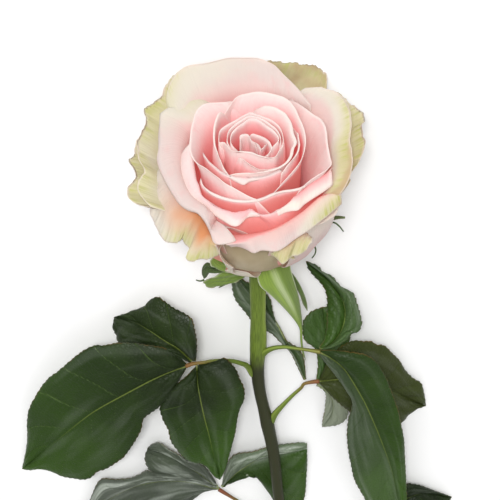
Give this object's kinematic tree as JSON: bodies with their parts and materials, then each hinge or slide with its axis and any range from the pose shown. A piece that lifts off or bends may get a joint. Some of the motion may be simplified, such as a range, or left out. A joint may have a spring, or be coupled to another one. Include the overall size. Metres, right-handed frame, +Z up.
{
  "type": "cut rose",
  "caption": "Cut garden rose lying on its back: an open, cupped, many-petalled bloom on a leafy stem with compound, serrated leaves.",
  "frame": {"origin": "middle of the footprint, on the surface that the rose lies on", "axes": "+Y along the stem from the cut end towards the bloom, +Z up from the surface, +X to the right seen from above with the bloom at the top"},
  "size_m": [0.1986, 0.3998, 0.0708],
  "materials": {
    "petal": "soft satin petal, pale pink faces, coral depths, cream-green outer petals",
    "sepal": "fresh light green, downy edges",
    "stem": "smooth green bark, darker and browner towards the cut",
    "leaf": "dark glossy green with paler veins, grey-green underside"
  },
  "bodies": {
    "root": {"bloom": "petal", "calyx": "sepal", "stem": "stem", "leaf_left": "leaf", "leaf_right_upper": "leaf", "leaf_right_lower": "leaf", "leaf_low_left": "leaf", "leaf_low_right": "leaf"}
  },
  "joints": []
}
